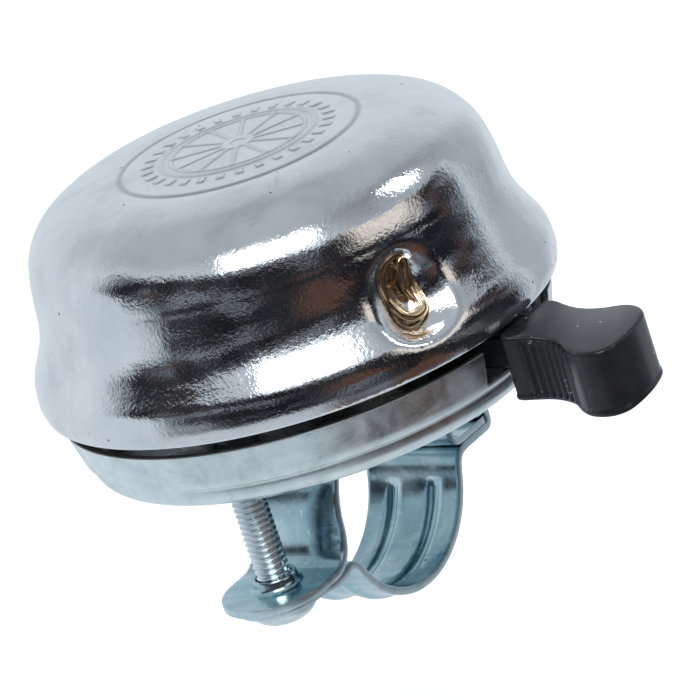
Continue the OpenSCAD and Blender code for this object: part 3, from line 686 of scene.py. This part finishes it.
def build_pad():
    p = crspline(PAD, 14, closed=True); p = resample(p, n=520, closed=True)
    k = np.exp(-0.5 * (np.arange(-8, 9) / 3.0) ** 2); k /= k.sum()
    p = np.stack([np.convolve(np.r_[p[-8:, i], p[:, i], p[:8, i]], k, "valid") for i in range(2)], 1)
    T = np.roll(p, -1, 0) - np.roll(p, 1, 0); T /= np.linalg.norm(T, axis=1)[:, None]
    N = np.stack([T[:, 1], -T[:, 0]], 1)
    area = 0.5 * np.sum(p[:, 0] * np.roll(p[:, 1], -1) - np.roll(p[:, 0], -1) * p[:, 1])
    if area < 0: N = -N
    # ribs on the hollow side that faces -X
    side = (p[:, 0] < -3.9) & (p[:, 1] < -31.8) & (p[:, 1] > -41.0)
    yy = np.clip((-31.85 - p[:, 1]) / 8.6, 0, 1)
    rib = np.where(side, np.abs(np.sin(np.pi * 8 * yy)), 0)
    rib = rib ** 0.75 * smoothstep(0.0, 0.05, yy) * smoothstep(1.0, 0.95, yy)
    z0, z1, rf = 12.0, 19.6, 0.42
    levels = [(z0 + rf * (1 - math.cos(a)), rf * (1 - math.sin(a))) for a in np.linspace(0.12, math.pi / 2, 7)]
    levels += [(z, 0.0) for z in np.linspace(z0 + rf, z1 - rf, 44)[1:-1]]
    levels += [(z1 - rf * (1 - math.cos(a)), rf * (1 - math.sin(a))) for a in np.linspace(math.pi / 2, 0.12, 7)]
    verts, rings = [], []
    for z, inset in levels:
        f = float(smoothstep(12.35, 12.8, z) * smoothstep(19.15, 18.8, z))
        q = p + N * (-inset - 0.13 * float(smoothstep(12.62, 12.78, z)) + 0.34 * rib * f - 0.22 * f * smoothstep(0.0, 0.04, yy) * smoothstep(1.0, 0.96, yy) * side)[:, None]
        base = len(verts); verts += [(a, b, z) for a, b in q]; rings.append(range(base, len(verts)))
    n = len(p); faces = []
    for a, b in zip(rings[:-1], rings[1:]): faces += [(a[k_], a[(k_ + 1) % n], b[(k_ + 1) % n], b[k_]) for k_ in range(n)]
    faces.append(tuple(rings[-1])); faces.append(tuple(reversed(rings[0])))
    return outward(add_mesh("pad", verts, faces, PLASTIC))


def build_arm():
    # rounded beam from the hub out into the pad
    sec = []
    w, h, r = 3.25, 1.85, 0.5
    for cx, cz, a0 in ((w - r, h - r, 0), (-w + r, h - r, 90), (-w + r, -h + r, 180), (w - r, -h + r, 270)):
        sec += [(cx + r * math.cos(math.radians(a0 + k * 18)), cz + r * math.sin(math.radians(a0 + k * 18))) for k in range(6)]
    verts, rings = [], []
    for y in np.linspace(-23.0, -30.6, 20):
        base = len(verts); verts += [(1.0 + x, y, 16.75 + z) for x, z in sec]; rings.append(range(base, len(verts)))
    n = len(sec); faces = []
    for a, b in zip(rings[:-1], rings[1:]): faces += [(a[k], a[(k + 1) % n], b[(k + 1) % n], b[k]) for k in range(n)]
    faces += [tuple(rings[0]), tuple(reversed(rings[-1]))]
    return outward(add_mesh("arm", verts, faces, PLASTIC))


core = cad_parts["thumb_lever"].copy(); core.data = core.data.copy(); core.name = "core"
core.parent = None; core.matrix_world = Matrix.Identity(4)
scene.collection.objects.link(core)
core.data.materials.clear(); core.data.materials.append(PLASTIC)
bm = bmesh.new(); bm.from_mesh(core.data)
bmesh.ops.remove_doubles(bm, verts=bm.verts, dist=1e-6)
res = bmesh.ops.bisect_plane(bm, geom=bm.verts[:] + bm.edges[:] + bm.faces[:], plane_co=(0, -0.0235, 0), plane_no=(0, -1, 0), clear_outer=True)
ed = [e for e in res["geom_cut"] if isinstance(e, bmesh.types.BMEdge)]
bmesh.ops.holes_fill(bm, edges=ed)
bm.to_mesh(core.data); bm.free()
lever = sharp(join_objs("thumb_lever_moulding", [build_pad(), build_arm(), core]), 45)
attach(lever, "lever"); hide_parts("thumb_lever")


# ------------------------------------------------------------------ stage, camera, lights
def stage_mesh(name, verts, faces, mat):
    ob = add_mesh(name, verts, faces, mat, scale=1.0); return ob


fm = bpy.data.materials.new("floor"); fm.use_nodes = True
fp = fm.node_tree.nodes["Principled BSDF"]; fp.inputs["Base Color"].default_value = (0.93, 0.93, 0.935, 1); fp.inputs["Roughness"].default_value = 0.9
fp.inputs["Specular IOR Level"].default_value = 0.1
fn_ = fm.node_tree; gb = fn_.nodes.new("ShaderNodeNewGeometry"); tb = fn_.nodes.new("ShaderNodeBsdfTransparent"); ms = fn_.nodes.new("ShaderNodeMixShader")
fo = [x for x in fn_.nodes if x.type == "OUTPUT_MATERIAL"][0]
fn_.links.new(gb.outputs["Backfacing"], ms.inputs[0]); fn_.links.new(fp.outputs[0], ms.inputs[1]); fn_.links.new(tb.outputs[0], ms.inputs[2])
fn_.links.new(ms.outputs[0], fo.inputs["Surface"])
FZ = -0.040
floor = stage_mesh("floor", [(-6, -6, FZ), (6, -6, FZ), (6, 6, FZ), (-6, 6, FZ)], [(0, 1, 2, 3)], fm)
floor.visible_glossy = False


def emitter(name, col, strength):
    m = bpy.data.materials.new(name); m.use_nodes = True
    nt = m.node_tree; nt.nodes.clear()
    e = nt.nodes.new("ShaderNodeEmission"); o = nt.nodes.new("ShaderNodeOutputMaterial")
    e.inputs[0].default_value = (*col, 1); e.inputs[1].default_value = strength
    nt.links.new(e.outputs[0], o.inputs[0]); return m


# dark side of the studio: a curved card that only reflections see, like the room behind a light table
rm = emitter("surround", (0.5, 0.5, 0.5), 1.0)
nt = rm.node_tree; e = [x for x in nt.nodes if x.type == "EMISSION"][0]
tcn = nt.nodes.new("ShaderNodeTexCoord"); nz = nt.nodes.new("ShaderNodeTexNoise"); nz.inputs["Scale"].default_value = 7.0; nz.inputs["Detail"].default_value = 3
rp = nt.nodes.new("ShaderNodeValToRGB"); el = rp.color_ramp.elements
el[0].position = 0.40; el[0].color = (0.010, 0.011, 0.014, 1); el[1].position = 0.68; el[1].color = (0.30, 0.34, 0.40, 1)
k = el.new(0.54); k.color = (0.045, 0.047, 0.055, 1)
nt.links.new(tcn.outputs["Object"], nz.inputs["Vector"]); nt.links.new(nz.outputs["Fac"], rp.inputs[0])
# warm patches
n2 = nt.nodes.new("ShaderNodeTexNoise"); n2.inputs["Scale"].default_value = 9.0
mp = nt.nodes.new("ShaderNodeMapping"); mp.inputs["Location"].default_value = (3.1, 1.7, 0.4); nt.links.new(tcn.outputs["Object"], mp.inputs["Vector"]); nt.links.new(mp.outputs[0], n2.inputs["Vector"])
m2 = nt.nodes.new("ShaderNodeMapRange"); m2.inputs["From Min"].default_value = 0.60; m2.inputs["From Max"].default_value = 0.66; nt.links.new(n2.outputs["Fac"], m2.inputs["Value"])
mx = nt.nodes.new("ShaderNodeMix"); mx.data_type = "RGBA"; mx.inputs[7].default_value = (0.115, 0.060, 0.045, 1)
nt.links.new(m2.outputs[0], mx.inputs["Factor"]); nt.links.new(rp.outputs[0], mx.inputs[6])
# soft ends: the card brightens towards its edges, left and right
at = nt.nodes.new("ShaderNodeAttribute"); at.attribute_name = "edge"
mx2 = nt.nodes.new("ShaderNodeMix"); mx2.data_type = "RGBA"; mx2.inputs[7].default_value = (0.66, 0.74, 0.81, 1)
nt.links.new(at.outputs["Fac"], mx2.inputs["Factor"]); nt.links.new(mx.outputs[2], mx2.inputs[6]); mw = nt.nodes.new("ShaderNodeAttribute"); mw.attribute_name = "warm"
mx3 = nt.nodes.new("ShaderNodeMix"); mx3.data_type = "RGBA"; mx3.inputs[7].default_value = (1.05, 0.96, 0.86, 1)
n3 = nt.nodes.new("ShaderNodeTexNoise"); n3.inputs["Scale"].default_value = 11.0; n3.inputs["Detail"].default_value = 3
m5 = nt.nodes.new("ShaderNodeMapRange"); m5.inputs["From Min"].default_value = 0.38; m5.inputs["From Max"].default_value = 0.50
m5.inputs["To Min"].default_value = 0.50; m5.inputs["To Max"].default_value = 1.0
m6 = nt.nodes.new("ShaderNodeMath"); m6.operation = "MULTIPLY"
nt.links.new(tcn.outputs["Object"], n3.inputs["Vector"]); nt.links.new(n3.outputs["Fac"], m5.inputs["Value"])
nt.links.new(m5.outputs[0], m6.inputs[0]); nt.links.new(mw.outputs["Fac"], m6.inputs[1]); nt.links.new(m6.outputs[0], mx3.inputs["Factor"]); nt.links.new(mx2.outputs[2], mx3.inputs[6]); nt.links.new(mx3.outputs[2], e.inputs[0])
row = resample(np.array([(0.060, -0.030), (0.12, -0.022), (0.22, -0.005), (0.45, 0.07), (0.70, 0.22), (0.80, 0.36)]), n=34)
vs, fs, ew, ww, n = [], [], [], [], 150
REL0, REL1 = -104.0, 108.0
for i, (r, z) in enumerate(row):
    u = i / (len(row) - 1)
    for k in range(n):
        rel = REL0 + (REL1 - REL0) * k / (n - 1); a = math.radians(220.46 + rel)
        lift = 1 + 0.55 * smoothstep(-8, -62, rel)                     # the card stands higher on the left
        zz = -0.030 + (z + 0.030) * lift
        vs.append((r * math.cos(a), r * math.sin(a), zz))
        fade = -62 - 30 * smoothstep(0.15, 0.5, u)
        low = 0.85 * smoothstep(0.150, 0.100, r) * smoothstep(12, -12, rel)
        ew.append(float(max(smoothstep(fade + 9, fade - 9, rel), smoothstep(REL1 - 16, REL1 - 2, rel), smoothstep(0.90, 1.0, u) * 0.8, low)))
        ww.append(float(smoothstep(30, 44, rel) * smoothstep(76, 64, rel) * smoothstep(0.30, 0.50, u)))
for i in range(len(row) - 1): fs += [(i * n + k, i * n + k + 1, (i + 1) * n + k + 1, (i + 1) * n + k) for k in range(n - 1)]
sur = stage_mesh("surround", vs, fs, rm)
sur.data.attributes.new("edge", "FLOAT", "POINT").data.foreach_set("value", ew)
sur.data.attributes.new("warm", "FLOAT", "POINT").data.foreach_set("value", ww)
for a in ("visible_camera", "visible_diffuse", "visible_shadow", "visible_transmission", "visible_volume_scatter"): setattr(sur, a, False)


def area(name, loc, target, size, power, col=(1, 1, 1), size_y=None):
    L = bpy.data.lights.new(name, "AREA"); L.energy = power; L.color = col
    L.shape = "RECTANGLE" if size_y else "SQUARE"; L.size = size
    if size_y: L.size_y = size_y
    ob = bpy.data.objects.new(name, L); scene.collection.objects.link(ob)
    ob.location = loc; d = Vector(target) - Vector(loc)
    ob.rotation_euler = d.to_track_quat("-Z", "Y").to_euler()
    return ob


CAM_AZ = 220.46


def polar(rel, elev, dist):
    a, e_ = math.radians(CAM_AZ + rel), math.radians(elev)
    return (dist * math.cos(e_) * math.cos(a), dist * math.cos(e_) * math.sin(a), dist * math.sin(e_) + 0.02)


COOL = (0.93, 0.97, 1.0)
area("softbox_left", polar(-3, 41, 0.85), (0, 0, 0.03), 0.50, 3.6, COOL, size_y=0.30)
area("softbox_halo", polar(-3, 41, 0.87), (0, 0, 0.03), 0.64, 0.55, COOL, size_y=0.46)
area("softbox_right", polar(84, 40, 0.85), (0, 0, 0.03), 0.16, 0.7, COOL, size_y=0.20)
f_ = area("floor_fill", (0, 0, 1.6), (0, 0, 0), 2.2, 30.0, (1.0, 0.985, 0.97))
f_.visible_glossy = False

w = bpy.data.worlds.new("studio"); scene.world = w; w.use_nodes = True
nt = w.node_tree; bg = nt.nodes["Background"]
tcn = nt.nodes.new("ShaderNodeTexCoord"); sp = nt.nodes.new("ShaderNodeSeparateXYZ"); mr = nt.nodes.new("ShaderNodeMapRange")
mr.inputs["From Min"].default_value = -1; mr.inputs["From Max"].default_value = 1
rp = nt.nodes.new("ShaderNodeValToRGB"); el = rp.color_ramp.elements
el[0].position = 0.0; el[0].color = (0.70, 0.77, 0.83, 1); el[1].position = 1.0; el[1].color = (0.50, 0.55, 0.60, 1)
for p_, c_ in ((0.50, 0.84), (0.60, 0.84), (0.70, 0.82), (0.80, 0.68), (0.88, 0.52)):
    k = el.new(p_); k.color = (c_ * 0.87, c_ * 0.955, c_ * 1.04, 1)
# the side towards the right of the picture is a greyer wall
dt = nt.nodes.new("ShaderNodeVectorMath"); dt.operation = "DOT_PRODUCT"; dt.inputs[1].default_value = (0.5568, -0.8307, 0.0)
m3 = nt.nodes.new("ShaderNodeMapRange"); m3.interpolation_type = "SMOOTHSTEP"
m3.inputs["From Min"].default_value = 0.30; m3.inputs["From Max"].default_value = 0.70; m3.inputs["To Min"].default_value = 1.0; m3.inputs["To Max"].default_value = 0.62
mu = nt.nodes.new("ShaderNodeVectorMath"); mu.operation = "SCALE"
nt.links.new(tcn.outputs["Generated"], dt.inputs[0]); nt.links.new(dt.outputs["Value"], m3.inputs["Value"]); nt.links.new(m3.outputs[0], mu.inputs["Scale"])
nt.links.new(tcn.outputs["Generated"], sp.inputs[0]); nt.links.new(sp.outputs[2], mr.inputs["Value"]); nt.links.new(mr.outputs[0], rp.inputs[0])
nt.links.new(rp.outputs[0], mu.inputs[0]); nt.links.new(mu.outputs["Vector"], bg.inputs[0])
bg.inputs[1].default_value = 1.0

cam = bpy.data.cameras.new("camera"); co = bpy.data.objects.new("camera", cam); scene.collection.objects.link(co)
cam.lens = 277.2; cam.sensor_width = 36; cam.sensor_fit = "HORIZONTAL"; cam.clip_start = 0.05; cam.clip_end = 20
right = Vector((0.53143, -0.79295, -0.29798)); down = Vector((-0.43927, 0.04281, -0.89734)); fwd = Vector((0.72431, 0.60777, -0.32557))
M = Matrix((right, -down, -fwd)).transposed().to_4x4(); M.translation = Vector((-0.43267, -0.36894, 0.21163))
co.matrix_world = M
scene.camera = co
